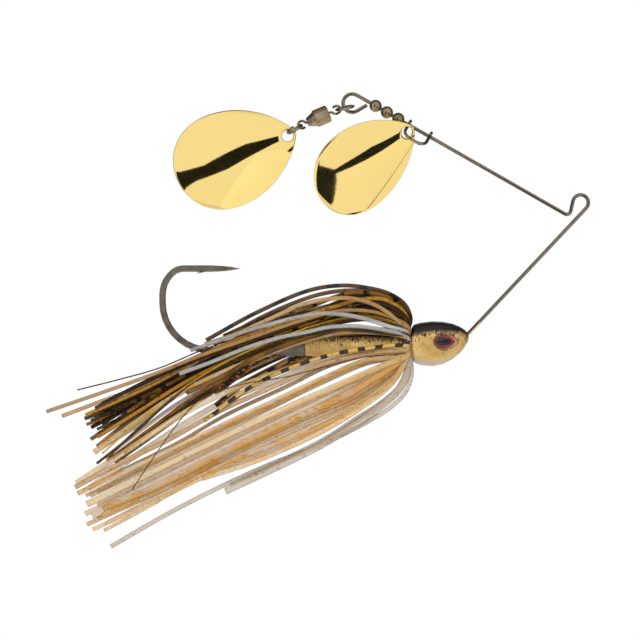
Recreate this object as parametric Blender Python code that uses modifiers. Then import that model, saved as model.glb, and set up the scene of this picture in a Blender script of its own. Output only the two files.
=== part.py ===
"""A spinnerbait: a bent wire with a lead head and hook on one arm and two spinner blades on the other.

The lure stands upright in the XZ plane. The origin is the centre of the line-tie loop, +X is the way
the lure is towed, +Z is up towards the blades. Sizes are in millimetres, and MM turns them into metres.
"""
import math

import bmesh
import bpy
from mathutils import Matrix, Vector

MM = 0.001
SIDE = Vector((0, 1, 0))

# Wire form: one length of stainless wire
WIRE_R = 0.4
LINE_TIE_R = 1.67
LINE_TIE_TURN = 77.2
LINE_TIE_LEG = 2.29
ARM_BEND_R = 0.85
ARM_ANGLE = 29.7
ARM_LENGTH = 51.4
END_LOOP_R = 1.97
END_LOOP_TURN = 240
END_LOOP_TAIL = 2.5
LOWER_ARM_ANGLE = 46.8
LOWER_ARM_LENGTH = 36.9

# Pieces strung on the upper arm, as distances back from the top of the end loop
BEAD_R = 1.35
BEAD_BORE_R = 0.52
BEAD_PLACES = (4.65, 7.45, 10.25)
CLEVIS_WIRE_R = 0.36
CLEVIS_PLACES = (12.8, 17.95)
CLEVIS_DEPTH = 4.4
CLEVIS_CORNER_R = 2.0
CLEVIS_LEAN = 50
CLEVIS_EYE_R = 0.92
CLEVIS_EYE_BEND_R = 0.6

# Blades: long teardrops, cupped like a cone so that they throw water
BLADE_THICKNESS = 0.5
BLADE_HOLE_R = 1.2
BLADE_HOLE_FROM_TIP = 1.95
BLADE_BOW = 0.9
BLADE_WIDEST = 0.6
BLADE_SHOULDER = 0.78
BLADE_ROUND_END = 2.2
BLADE_CUP_SPREAD = 6
FRONT_BLADE = {"length": 25.3, "width": 18.4, "cup": 0.5}
REAR_BLADE = {"length": 27.5, "width": 20.8, "cup": 0.5}
FRONT_BLADE_ANGLE = 39.3
FRONT_BLADE_ROLL = 26
FRONT_HOLE_DEPTH = 2.9
FRONT_HOLE_SHIFT = 0.5
REAR_BLADE_ANGLE = 20.8
REAR_HOLE_DROP = 0.5

# Rear chain: link ring, swivel and split ring
RING_WIRE_R = 0.3
LINK_RING_R = 1.9
LINK_RING_ANGLE = 12.5
LINK_RING_TILT = 12
LINK_RING_BITE = 0.1
LOOP_POINT_ANGLE = 212
SWIVEL_ANGLE = 23.5
EYE_WIRE_R = 0.27
EYE_R = 0.84
EYE_BEND_R = 0.4
FRONT_EYE_STRETCH = 1.2
FRONT_EYE_REACH = 1.72
REAR_EYE_REACH = 1.2
KNOB_R = 0.8
KNOB_LENGTH = 0.6
BARREL_LENGTH = 5.1
BARREL_FRONT_WALL = 0.5
BARREL_CAVITY_END = 3.7
KNOB_GAP = 0.1
BARREL_OUTLINE = (  # radius, height above the front end: the outside, then the bore and the cavity
    (0.42, 0.0), (1.5, 0.0), (1.78, -0.12), (1.9, -0.4), (1.9, -3.05), (1.78, -3.3), (1.6, -3.4),
    (0.9, -5.05), (0.8, -5.1), (0.42, -5.1), (0.42, -3.7), (1.0, -3.7), (1.3, -3.0), (1.3, -0.5),
    (0.42, -0.5),
)
SPLIT_RING_R = 1.8
SPLIT_RING_WIRE_R = 0.19
SPLIT_RING_PITCH = 0.41
SPLIT_RING_ANGLE = 31

# Head: lead cast on the hook and on the end of the wire, and painted
HEAD_SECTIONS = (  # x, top, bottom, half width
    (-24.05, -28.4, -29.2, 0.35),
    (-24.3, -27.9, -30.0, 0.95),
    (-24.9, -27.25, -31.0, 1.55),
    (-25.9, -26.6, -32.3, 2.15),
    (-27.5, -25.95, -33.6, 2.8),
    (-29.6, -25.55, -34.65, 3.25),
    (-32.0, -25.45, -35.1, 3.5),
    (-34.4, -25.75, -34.85, 3.4),
    (-35.8, -26.15, -34.25, 3.2),
    (-36.3, -26.9, -33.5, 2.9),
    (-36.4, -28.3, -32.95, 2.2),
    (-38.9, -28.3, -32.95, 2.2),
    (-39.3, -27.95, -33.2, 2.45),
    (-40.2, -28.1, -33.15, 2.3),
    (-45.0, -28.25, -33.2, 2.2),
    (-52.0, -28.55, -33.1, 1.9),
    (-57.0, -29.3, -32.95, 1.6),
    (-59.1, -30.0, -32.8, 1.4),
)
SECTION_SIDES = 20
SECTION_SQUARENESS = 0.92
CAST_GAP = 0.08
EYE_SPOT = (-29.0, 0, -29.75)
EYE_SIZE = (5.1, 3.5)
EYE_FACE = 3.2
EYE_TURN = 15
EYE_FOIL = 0.25
EYE_POCKET = 1.2
EYE_GAP = 0.05
EYE_DOME = ((1.0, 0.0), (0.97, 0.22), (0.8, 0.42), (0.5, 0.55))  # size, height
EYE_POINT = 0.32

# Hook
HOOK_R = 0.71
SHANK_Z = -31.65
SHANK_END = -79.5
HOOK_EYE_R = 1.6
HOOK_EYE_X = -30.9
HOOK_EYE_TURN = 275
WIRE_BESIDE_HOOK_EYE = -1.35
WIRE_THROUGH_HOOK_EYE = 1.7
HOOK_BEND = ((10.2, 90), (None, 1.7), (6.2, 50), (3.6, 40))
HOOK_POINT = 12.0
HOOK_TAPER = 6.0
HOOK_TAPER_STEPS = ((0.35, 0.85), (0.35, 0.55), (0.3, 0.06))  # share of the taper, thickness at its end
BARB_R = 0.3
BARB_AT = 6.6
BARB_LENGTH = 2.6
BARB_DROP = 0.7
BARB_SINK = 0.45

# Keeper for a soft trailer, pushed on the shank behind the head
KEEPER_PROFILE = (  # distance behind the head's end, radius
    (0.15, 1.15), (2.1, 1.15), (2.15, 1.35), (2.55, 1.35), (2.6, 1.5), (6.2, 1.0),
)
KEEPER_BORE_R = 0.8

# Skirt: a rubber collar and eight locks of silicone strands
COLLAR_CENTRE = (-37.6, 0, -30.6)
COLLAR_INNER_R = 2.5
COLLAR_OUTER_R = 3.2
COLLAR_LENGTH = 1.6
COLLAR_EDGE = 0.2
LOCK_START_R = 3.75
LOCK_START_X = -38.9
LOCK_THICKNESS = 0.9
LOCK_CROWN = 0.25
LOCK_STEPS = 14
LOCKS = (  # name, angle round the collar, two handles and the tip of its path, half widths, material
    ("skirt_top", 90, (-39.5, 0, -16), (-58, 0, -13.9), (-78.4, 0, -28.2), (1.2, 2.2), "olive_silicone"),
    ("skirt_upper_front", 42, (-44, -6, -20), (-66, -6, -23.5), (-112, -4, -44.5), (1, 3), "olive_silicone"),
    ("skirt_upper_back", 138, (-44, 6, -20), (-66, 6, -23), (-108, 4, -42), (1, 3), "black_silicone"),
    ("skirt_side_front", 0, (-50, -5.5, -28), (-74, -6, -33), (-103, -3, -52.5), (1.1, 3.4), "tan_silicone"),
    ("skirt_side_back", 180, (-50, 5.5, -28), (-74, 6, -33), (-102, 3, -51), (1.1, 3.4), "olive_silicone"),
    ("skirt_lower_front", -45, (-44, -6, -36), (-72, -5, -46), (-104, -2.5, -63), (1, 3.2), "tan_silicone"),
    ("skirt_lower_back", -135, (-44, 6, -36), (-72, 5, -46), (-102, 2.5, -62), (1, 3.2), "tan_silicone"),
    ("skirt_bottom", -90, (-38.5, 0, -46), (-60, 0, -54.5), (-100.5, 0, -72.5), (1.2, 2.6), "clear_silicone"),
)

MATERIALS = {  # colour, metallic, roughness
    "dark_nickel": ((0.30, 0.27, 0.22), 1.0, 0.25),
    "bead_nickel": ((0.35, 0.32, 0.27), 1.0, 0.12),
    "hook_steel": ((0.20, 0.18, 0.16), 1.0, 0.3),
    "gold_plate": ((0.90, 0.72, 0.30), 1.0, 0.08),
    "painted_lead": ((0.62, 0.46, 0.20), 0.0, 0.3),
    "eye_foil": ((0.45, 0.06, 0.05), 0.2, 0.3),
    "eye_epoxy": ((0.85, 0.85, 0.85), 0.0, 0.05),
    "keeper_plastic": ((0.33, 0.33, 0.34), 0.0, 0.5),
    "collar_rubber": ((0.05, 0.05, 0.05), 0.0, 0.7),
    "olive_silicone": ((0.18, 0.12, 0.02), 0.0, 0.4),
    "black_silicone": ((0.02, 0.02, 0.02), 0.0, 0.4),
    "tan_silicone": ((0.58, 0.36, 0.16), 0.0, 0.4),
    "clear_silicone": ((0.70, 0.64, 0.56), 0.0, 0.4),
}


def direction(degrees):
    """A unit vector in the lure's plane, counted up from +X."""
    a = math.radians(degrees)
    return Vector((math.cos(a), 0, math.sin(a)))


def clear_scene():
    for obj in list(bpy.data.objects):
        bpy.data.objects.remove(obj, do_unlink=True)


def new_collection(name):
    collection = bpy.data.collections.new(name)
    bpy.context.scene.collection.children.link(collection)
    return collection


def make_materials():
    made = {}
    for name, (colour, metallic, roughness) in MATERIALS.items():
        material = bpy.data.materials.new(name)
        material.use_nodes = True
        shader = material.node_tree.nodes["Principled BSDF"]
        shader.inputs["Base Color"].default_value = (*colour, 1)
        shader.inputs["Metallic"].default_value = metallic
        shader.inputs["Roughness"].default_value = roughness
        made[name] = material
    return made


clear_scene()
PARTS = new_collection("spinnerbait")
CUTTERS = new_collection("spinnerbait_cutters")
LOOKS = make_materials()


class WirePen:
    """Bends a wire in a flat plane: straight runs and arcs, as a wire former makes them."""

    def __init__(self, x, y, heading):
        self.x, self.y, self.heading = x, y, heading
        self.points = [(x, y)]

    def forward(self, length):
        self.x += length * math.cos(math.radians(self.heading))
        self.y += length * math.sin(math.radians(self.heading))
        self.points.append((self.x, self.y))

    def turn(self, radius, degrees, step=15):
        """An arc. Positive degrees turn left, and negative ones turn right."""
        pieces = max(2, math.ceil(abs(degrees) / step))
        side = math.copysign(90, degrees)
        middle_x = self.x + radius * math.cos(math.radians(self.heading + side))
        middle_y = self.y + radius * math.sin(math.radians(self.heading + side))
        start = self.heading - side
        for n in range(1, pieces + 1):
            a = math.radians(start + degrees * n / pieces)
            self.points.append((middle_x + radius * math.cos(a), middle_y + radius * math.sin(a)))
        self.x, self.y = self.points[-1]
        self.heading += degrees


def in_plane(points, origin, across, up):
    """Flat points as points in space, on the plane through origin that across and up span."""
    return [origin + across * x + up * y for x, y in points]


def place(obj, origin, z_axis=None, x_hint=SIDE):
    """Puts an object at a point, its Z along z_axis and its X as near x_hint as it can be."""
    obj.location = origin * MM
    if z_axis is not None:
        z = z_axis.normalized()
        x = (x_hint - z * x_hint.dot(z)).normalized()
        obj.rotation_mode = "QUATERNION"
        obj.rotation_quaternion = Matrix((x, z.cross(x), z)).transposed().to_quaternion()
    return obj


def finish(obj, material, collection=PARTS):
    """Gives an object its material and its place in a collection."""
    for other in list(obj.users_collection):
        other.objects.unlink(obj)
    collection.objects.link(obj)
    obj.data.materials.clear()
    if material:
        obj.data.materials.append(LOOKS[material])
    if collection is CUTTERS:
        obj.hide_render = True
        obj.display_type = "WIRE"
    return obj


def wire(name, points, radius, material, origin, closed=False, factors=None, collection=PARTS):
    """A round wire through points in space, with its object's origin at origin."""
    curve = bpy.data.curves.new(name, "CURVE")
    curve.dimensions = "3D"
    curve.bevel_depth = radius * MM
    curve.bevel_resolution = 2
    curve.render_resolution_u = 0
    curve.use_fill_caps = True
    spline = curve.splines.new("POLY")
    spline.points.add(len(points) - 1)
    spline.use_cyclic_u = closed
    for n, point in enumerate(points):
        spline.points[n].co = (*((point - origin) * MM), 1)
        spline.points[n].radius = factors[n] if factors else 1
    obj = bpy.data.objects.new(name, curve)
    PARTS.objects.link(obj)
    place(obj, origin)
    return finish(obj, material, collection)


def as_mesh(curve_object, material=None, collection=PARTS):
    """The same wire as a closed mesh, which a Boolean can use."""
    bpy.context.view_layer.update()
    graph = bpy.context.evaluated_depsgraph_get()
    mesh = bpy.data.meshes.new_from_object(curve_object.evaluated_get(graph))
    name, matrix = curve_object.name, curve_object.matrix_world.copy()
    old = curve_object.data
    bpy.data.objects.remove(curve_object, do_unlink=True)
    bpy.data.curves.remove(old)
    shape = bmesh.new()
    shape.from_mesh(mesh)
    bmesh.ops.remove_doubles(shape, verts=shape.verts, dist=1e-6)
    bmesh.ops.recalc_face_normals(shape, faces=shape.faces)
    shape.to_mesh(mesh)
    shape.free()
    obj = bpy.data.objects.new(name, mesh)
    obj.matrix_world = matrix
    PARTS.objects.link(obj)
    return finish(obj, material, collection)


def mesh_object(name, shape, material, collection=PARTS, smooth=True):
    """An object from a bmesh whose vertices are in millimetres."""
    bmesh.ops.scale(shape, vec=(MM, MM, MM), verts=shape.verts)
    bmesh.ops.recalc_face_normals(shape, faces=shape.faces)
    mesh = bpy.data.meshes.new(name)
    shape.to_mesh(mesh)
    shape.free()
    if smooth:
        mesh.shade_smooth()
        mesh.set_sharp_from_angle(angle=math.radians(35))
    obj = bpy.data.objects.new(name, mesh)
    PARTS.objects.link(obj)
    return finish(obj, material, collection)


def turned(name, profile, material, steps=20, smooth=True, collection=PARTS):
    """A closed outline of (radius, height) turned round Z. Its outer side runs from top to bottom."""
    mesh = bpy.data.meshes.new(name)
    corners = [(r * MM, 0, z * MM) for r, z in profile]
    mesh.from_pydata(corners, [(n, (n + 1) % len(corners)) for n in range(len(corners))], [])
    obj = bpy.data.objects.new(name, mesh)
    PARTS.objects.link(obj)
    screw = obj.modifiers.new("turn", "SCREW")
    screw.steps = screw.render_steps = steps
    screw.use_merge_vertices = True
    screw.merge_threshold = 1e-6
    screw.use_smooth_shade = smooth
    return finish(obj, material, collection)


def boolean(obj, other, operation):
    """Cuts or joins now, and removes the other object."""
    cut = obj.modifiers.new(operation.lower(), "BOOLEAN")
    cut.operation = operation
    cut.solver = "EXACT"
    cut.object = other
    bpy.context.view_layer.update()
    graph = bpy.context.evaluated_depsgraph_get()
    mesh = bpy.data.meshes.new_from_object(obj.evaluated_get(graph))
    obj.modifiers.clear()
    obj.data = mesh
    bpy.data.objects.remove(other, do_unlink=True)


def eye_bend(wire_end, radius, bend_radius, turn=290, stretch=1.0):
    """A closed eye on the end of a straight wire: a bend aside, then a loop centred on the wire's line.

    Flat points from the bend's start to the loop's end, with the wire coming along +X to wire_end."""
    aside = math.degrees(math.acos(bend_radius / (bend_radius + radius)))
    pen = WirePen(0, 0, 0)
    pen.turn(bend_radius, -aside, 25)
    pen.turn(radius, turn, 22)
    return [(wire_end + x * stretch, y) for x, y in pen.points]


def eye_reach(radius, bend_radius, stretch=1.0):
    """How far past the bend's start the middle of such an eye lies."""
    return stretch * math.sqrt((radius + bend_radius) ** 2 - bend_radius ** 2)


# Places along the upper arm, found by bending the wire

def wire_form_halves():
    """The wire's two halves, both from the top of the line tie: to the end loop, and to the head."""
    upper = WirePen(0, LINE_TIE_R, 180)
    upper.turn(LINE_TIE_R, LINE_TIE_TURN)
    upper.forward(LINE_TIE_LEG)
    upper.turn(ARM_BEND_R, 180 - ARM_ANGLE - upper.heading)
    upper.forward(ARM_LENGTH)
    loop_top = (upper.x, upper.y)
    upper.turn(END_LOOP_R, END_LOOP_TURN)
    upper.forward(END_LOOP_TAIL)
    lower = WirePen(0, LINE_TIE_R, 0)
    lower.turn(LINE_TIE_R, -180 + LOWER_ARM_ANGLE)
    lower.forward(LOWER_ARM_LENGTH)
    return upper.points, lower.points, [loop_top]


def flat(points):
    return in_plane(points, Vector(), Vector((1, 0, 0)), Vector((0, 0, 1)))


UPPER_WIRE, LOWER_WIRE, (LOOP_TOP,) = (flat(points) for points in wire_form_halves())
ARM = direction(180 - ARM_ANGLE)
ARM_OUT = direction(90 - ARM_ANGLE)
END_LOOP_CENTRE = LOOP_TOP - ARM_OUT * END_LOOP_R


def on_arm(distance):
    return LOOP_TOP - ARM * distance


def make_wire_form():
    """The lower arm ends inside the head, where it turns sideways through the hook's eye."""
    eye = Vector((HOOK_EYE_X, 0, SHANK_Z + HOOK_EYE_R))
    beside = WIRE_BESIDE_HOOK_EYE
    inside = [
        LOWER_WIRE[-1] + Vector((-1.7, -0.5, -1.0)),
        eye + Vector((2.2, beside, 0.1)),
        eye + Vector((0.5, beside, 0)),
        eye + Vector((0, beside + 0.5, 0)),
        eye + Vector((0, WIRE_THROUGH_HOOK_EYE, 0)),
    ]
    path = list(reversed(UPPER_WIRE)) + LOWER_WIRE[1:] + inside
    return wire("wire_form", path, WIRE_R, "dark_nickel", Vector()), path


def hook_path():
    """Flat points of the hook from the end of its eye to its point, and the wire's size at each."""
    pen = WirePen(0, 0, 180 + HOOK_EYE_TURN)
    pen.turn(HOOK_EYE_R, -HOOK_EYE_TURN, 18)
    shift = (HOOK_EYE_X - pen.x, SHANK_Z - pen.y)
    pen.points = [(x + shift[0], y + shift[1]) for x, y in pen.points]
    pen.x, pen.y = pen.points[-1]
    pen.heading = 180
    pen.forward(pen.x - SHANK_END)
    for radius, amount in HOOK_BEND:
        if radius is None:
            pen.forward(amount)
        else:
            pen.turn(radius, -amount, 10)
    pen.forward(HOOK_POINT - HOOK_TAPER)
    factors = [1.0] * len(pen.points)
    for share, thickness in HOOK_TAPER_STEPS:
        pen.forward(HOOK_TAPER * share)
        factors.append(thickness)
    return pen.points, factors


def make_hook():
    points, factors = hook_path()
    path = flat(points)
    hook = as_mesh(wire("hook", path, HOOK_R, None, Vector(), factors=factors), "hook_steel")
    root = path[-1] + Vector((-BARB_AT, 0, -BARB_SINK * HOOK_R))
    barb = [root + Vector((-BARB_LENGTH, 0, -BARB_DROP)), root + Vector((-0.4, 0, -0.05)), root]
    spur = wire("barb", barb, BARB_R, None, Vector(), factors=[0.12, 1.0, 1.0], collection=CUTTERS)
    boolean(hook, as_mesh(spur, None, CUTTERS), "UNION")
    hook.data.shade_smooth()
    return path


def ring_of_section(x, top, bottom, half_width):
    """An oval section of the head, a little squarer than an ellipse."""
    middle, half_height = (top + bottom) / 2, (top - bottom) / 2
    ring = []
    for n in range(SECTION_SIDES):
        a = 2 * math.pi * n / SECTION_SIDES
        c, s = math.cos(a), math.sin(a)
        y = half_width * math.copysign(abs(c) ** SECTION_SQUARENESS, c)
        z = middle + half_height * math.copysign(abs(s) ** SECTION_SQUARENESS, s)
        ring.append(Vector((x, y, z)))
    return ring


def make_head(wire_path, hook_line):
    """The casting: head, collar seat and tapered body, with the wire and the hook run through it."""
    shape = bmesh.new()
    rings = [[shape.verts.new(v) for v in ring_of_section(*section)] for section in HEAD_SECTIONS]
    for one, two in zip(rings, rings[1:]):
        for n in range(SECTION_SIDES):
            m = (n + 1) % SECTION_SIDES
            shape.faces.new((one[n], one[m], two[m], two[n]))
    shape.faces.new(rings[0])
    shape.faces.new(list(reversed(rings[-1])))
    head = mesh_object("head_casting", shape, "painted_lead", smooth=False)
    for name, path, radius in (("wire_way", wire_path, WIRE_R), ("hook_way", hook_line, HOOK_R)):
        way = wire(name, path, radius + CAST_GAP, None, Vector(), collection=CUTTERS)
        boolean(head, as_mesh(way, None, CUTTERS), "DIFFERENCE")
    for side in (-1, 1):
        pocket = eye_plate("pocket", side, EYE_GAP, EYE_POCKET, -EYE_FOIL - EYE_GAP, None, CUTTERS)
        boolean(head, pocket, "DIFFERENCE")
    head.data.shade_smooth()
    head.data.set_sharp_from_angle(angle=math.radians(35))


def teardrop(length, width, sides=24):
    """An eye's outline: round at the back (-X) and pointed at the front."""
    outline = []
    for n in range(sides):
        a = 2 * math.pi * n / sides
        narrow = 1 - EYE_POINT * (0.5 + 0.5 * math.cos(a)) ** 1.5
        outline.append((0.5 * length * math.cos(a), 0.5 * width * math.sin(a) * narrow))
    return outline


def eye_frame(side):
    """The middle of an eye's flat face, its forward, up and outward directions. side is -1 or 1."""
    out = Vector((math.sin(math.radians(EYE_TURN)), side * math.cos(math.radians(EYE_TURN)), 0))
    up = Vector((0, 0, 1))
    forward = Vector((math.cos(math.radians(EYE_TURN)), -side * math.sin(math.radians(EYE_TURN)), 0))
    middle = Vector((EYE_SPOT[0], side * EYE_FACE, EYE_SPOT[2]))
    return middle, forward, up, out


def eye_plate(name, side, grow, thickness, bottom, material, collection=PARTS):
    """A teardrop plate on the head's side, grow wider all round, thickness outwards from bottom."""
    middle, forward, up, out = eye_frame(side)
    outline = teardrop(EYE_SIZE[0] + 2 * grow, EYE_SIZE[1] + 2 * grow)
    shape = bmesh.new()
    low = [shape.verts.new(forward * x + up * y + out * bottom) for x, y in outline]
    high = [shape.verts.new(v.co + out * thickness) for v in low]
    for n in range(len(low)):
        m = (n + 1) % len(low)
        shape.faces.new((low[n], low[m], high[m], high[n]))
    shape.faces.new(low)
    shape.faces.new(high)
    return place(mesh_object(name, shape, material, collection, smooth=False), middle)


def eye_dome(name, side):
    """A drop of clear epoxy over the printed foil."""
    middle, forward, up, out = eye_frame(side)
    shape = bmesh.new()
    rings = []
    for size, height in EYE_DOME:
        outline = teardrop(EYE_SIZE[0] * size, EYE_SIZE[1] * size)
        rings.append([shape.verts.new(forward * x + up * y + out * (EYE_GAP + height)) for x, y in outline])
    for one, two in zip(rings, rings[1:]):
        for n in range(len(one)):
            m = (n + 1) % len(one)
            shape.faces.new((one[n], one[m], two[m], two[n]))
    shape.faces.new(rings[0])
    shape.faces.new(rings[-1])
    return place(mesh_object(name, shape, "eye_epoxy"), middle)


def make_eyes():
    for side, word in ((-1, "right"), (1, "left")):
        eye_plate(f"eye_foil_{word}", side, 0, EYE_FOIL, -EYE_FOIL, "eye_foil")
        eye_dome(f"eye_dome_{word}", side)


def make_keeper():
    end = HEAD_SECTIONS[-1][0]
    outer = [(r, -x) for x, r in KEEPER_PROFILE]
    outline = outer + [(KEEPER_BORE_R, outer[-1][1]), (KEEPER_BORE_R, outer[0][1])]
    keeper = turned("trailer_keeper", outline, "keeper_plastic", steps=24)
    place(keeper, Vector((end, 0, SHANK_Z)), Vector((1, 0, 0)))


def make_collar():
    half, edge = COLLAR_LENGTH / 2, COLLAR_EDGE
    outline = [
        (COLLAR_INNER_R, half), (COLLAR_OUTER_R - edge, half), (COLLAR_OUTER_R, half - edge),
        (COLLAR_OUTER_R, edge - half), (COLLAR_OUTER_R - edge, -half), (COLLAR_INNER_R, -half),
    ]
    collar = turned("skirt_collar", outline, "collar_rubber", steps=28)
    place(collar, Vector(COLLAR_CENTRE), Vector((1, 0, 0)))


def bezier(a, b, c, d, t):
    return a * (1 - t) ** 3 + b * 3 * t * (1 - t) ** 2 + c * 3 * t * t * (1 - t) + d * t ** 3


def make_lock(name, angle, handle, second_handle, tip, half_widths, material):
    """One lock of strands: a crowned strip that leaves the collar and fans out to its tip."""
    a = math.radians(angle)
    out = Vector((0, -math.cos(a), math.sin(a)))
    start = Vector((LOCK_START_X, 0, COLLAR_CENTRE[2])) + out * LOCK_START_R
    path = (start, Vector(handle), Vector(second_handle), Vector(tip))
    centres = [bezier(*path, n / LOCK_STEPS) for n in range(LOCK_STEPS + 1)]
    shape = bmesh.new()
    rows = []
    for n, centre in enumerate(centres):
        along = centres[min(n + 1, LOCK_STEPS)] - centres[max(n - 1, 0)]
        along.normalize()
        normal = (out - along * out.dot(along)).normalized()
        across = along.cross(normal)
        half = half_widths[0] + (half_widths[1] - half_widths[0]) * n / LOCK_STEPS
        rows.append([
            shape.verts.new(centre + across * half * v + normal * LOCK_CROWN * (1 - v * v))
            for v in (-1, 0, 1)
        ])
    for one, two in zip(rows, rows[1:]):
        for n in range(2):
            shape.faces.new((one[n], one[n + 1], two[n + 1], two[n]))
    lock = mesh_object(name, shape, material)
    solid = lock.modifiers.new("thickness", "SOLIDIFY")
    solid.thickness = LOCK_THICKNESS * MM
    solid.offset = 0


def make_beads():
    bore = math.asin(BEAD_BORE_R / BEAD_R)
    outline = [
        (BEAD_R * math.sin(a), BEAD_R * math.cos(a))
        for a in (bore + (math.pi - 2 * bore) * n / 10 for n in range(11))
    ]
    for n, distance in enumerate(BEAD_PLACES, 1):
        bead = turned(f"bead_{n}", outline, "bead_nickel", steps=20)
        place(bead, on_arm(distance), ARM)


def clevis_directions():
    """The way the clevis hangs from the arm, and the way its eyes curl."""
    lean = math.radians(CLEVIS_LEAN)
    down = (-ARM_OUT * math.cos(lean) - SIDE * math.sin(lean)).normalized()
    return down, ARM.cross(down)


def make_clevis():
    """A stirrup of wire whose two eyes turn on the arm. Its first leg is the one nearer the beads."""
    down, curl = clevis_directions()
    reach = eye_reach(CLEVIS_EYE_R, CLEVIS_EYE_BEND_R)
    eye = eye_bend(0, CLEVIS_EYE_R, CLEVIS_EYE_BEND_R)
    first, second = (on_arm(d) + down * reach for d in CLEVIS_PLACES)
    span = CLEVIS_PLACES[1] - CLEVIS_PLACES[0]
    stirrup = WirePen(0, 0, -90)
    stirrup.forward(CLEVIS_DEPTH - CLEVIS_CORNER_R - reach)
    stirrup.turn(CLEVIS_CORNER_R, 90)
    stirrup.forward(span - 2 * CLEVIS_CORNER_R)
    stirrup.turn(CLEVIS_CORNER_R, 90)
    stirrup.forward(CLEVIS_DEPTH - CLEVIS_CORNER_R - reach)
    path = list(reversed(in_plane(eye, first, -down, curl)))
    path += in_plane(stirrup.points[1:-1], first, -ARM, -down)
    path += in_plane(eye, second, -down, curl)
    wire("clevis", path, CLEVIS_WIRE_R, "dark_nickel", on_arm(CLEVIS_PLACES[0]))


def blade_half_width(x, length, width):
    """A teardrop's half width at x from its narrow end."""
    widest = BLADE_WIDEST * length
    if x < widest:
        return 0.5 * width * (1 - (1 - x / widest) ** 2) ** BLADE_SHOULDER
    return 0.5 * width * max(0.0, 1 - ((x - widest) / (length - widest)) ** BLADE_ROUND_END) ** 0.5


def make_blade(name, size, hole, along, normal, origin):
    """A cupped teardrop plate. along runs from its hole to its wide end, normal out of its crown."""
    length, width, cup = size["length"], size["width"], size["cup"]
    across = normal.cross(along)
    stations, rings = 18, 5
    edge = [0.5 * length * (1 - math.cos(math.pi * n / stations)) for n in range(stations + 1)]
    outline = [(x, blade_half_width(x, length, width)) for x in edge]
    outline += [(x, -w) for x, w in reversed(outline[1:-1])]
    focus = 0.55 * length

    def surface(x, y):
        crown = -cup * y * y / (x + BLADE_CUP_SPREAD) - BLADE_BOW * (x / focus - 1) ** 2
        at_hole = -BLADE_BOW * (BLADE_HOLE_FROM_TIP / focus - 1) ** 2
        return along * (x - BLADE_HOLE_FROM_TIP) + across * y + normal * (crown - at_hole)

    shape = bmesh.new()
    middle = shape.verts.new(surface(focus, 0))
    loops = []
    for ring in range(1, rings + 1):
        part = ring / rings
        loops.append([shape.verts.new(surface(focus + (x - focus) * part, y * part)) for x, y in outline])
    count = len(outline)
    for n in range(count):
        m = (n + 1) % count
        shape.faces.new((middle, loops[0][n], loops[0][m]))
        for one, two in zip(loops, loops[1:]):
            shape.faces.new((one[n], two[n], two[m], one[m]))
    blade = mesh_object(name, shape, "gold_plate")
    if blade.data.polygons[0].normal.dot(normal) < 0:
        blade.data.flip_normals()
    solid = blade.modifiers.new("thickness", "SOLIDIFY")
    solid.thickness = BLADE_THICKNESS * MM
    solid.offset = 0
    place(blade, hole)
    drill_outline = [(0.001, 3), (BLADE_HOLE_R, 3), (BLADE_HOLE_R, -3), (0.001, -3)]
    drill = turned("drill", drill_outline, None, steps=24, collection=CUTTERS)
    place(drill, hole, normal)
    boolean(blade, drill, "DIFFERENCE")
    shift_origin(blade, origin)


def shift_origin(obj, origin):
    """Moves an unrotated object's origin, and leaves its shape where it is."""
    move = obj.location - origin * MM
    obj.data.transform(Matrix.Translation(move))
    obj.location = origin * MM


def make_front_blade():
    """Its hole hangs on the clevis's first leg."""
    down, _ = clevis_directions()
    along = -direction(FRONT_BLADE_ANGLE)
    up = direction(90 + FRONT_BLADE_ANGLE)
    roll = math.radians(FRONT_BLADE_ROLL)
    normal = (-SIDE * math.cos(roll) - up * math.sin(roll)).normalized()
    leg = on_arm(CLEVIS_PLACES[0]) + down * FRONT_HOLE_DEPTH
    hole = leg - ARM * FRONT_HOLE_SHIFT
    make_blade("front_blade", FRONT_BLADE, hole, along, normal, leg)


def ring_points(centre, radius, across, up, turns=1, pitch=0, sides=20):
    """A round ring, or a helix of more turns whose coils lie a pitch apart and whose ends lie at -up."""
    axis = across.cross(up)
    count = sides if turns == 1 else sides * turns + 1
    points = []
    for n in range(count):
        a = 2 * math.pi * n / sides - math.pi / 2
        rise = pitch * (n / sides - turns / 2)
        points.append(centre + (across * math.cos(a) + up * math.sin(a)) * radius + axis * rise)
    return points


def chain_places():
    """Where each link of the rear chain lies, from the end loop to the blade."""
    link_way = -direction(LINK_RING_ANGLE)
    swivel_way = -direction(SWIVEL_ANGLE)
    split_way = -direction(SPLIT_RING_ANGLE)
    loop_point = END_LOOP_CENTRE + direction(LOOP_POINT_ANGLE) * END_LOOP_R
    link_centre = loop_point - link_way * LINK_RING_BITE
    link_far = link_centre + link_way * LINK_RING_R
    barrel_front = link_far + swivel_way * FRONT_EYE_REACH
    rear_eye = barrel_front + swivel_way * (BARREL_LENGTH + REAR_EYE_REACH)
    split_centre = rear_eye + split_way * SPLIT_RING_R
    return {
        "link_way": link_way, "loop_point": loop_point, "link_centre": link_centre, "link_far": link_far,
        "swivel_way": swivel_way, "barrel_front": barrel_front, "rear_eye": rear_eye,
        "split_way": split_way, "split_centre": split_centre,
        "split_far": split_centre + split_way * SPLIT_RING_R,
    }


def make_link_ring(places):
    across = places["link_way"]
    tilt = math.radians(LINK_RING_TILT)
    up = (SIDE * math.cos(tilt) - across.cross(SIDE) * math.sin(tilt)).normalized()
    points = ring_points(places["link_centre"], LINK_RING_R, across, up)
    wire("link_ring", points, RING_WIRE_R, "dark_nickel", places["loop_point"], closed=True)


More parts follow.
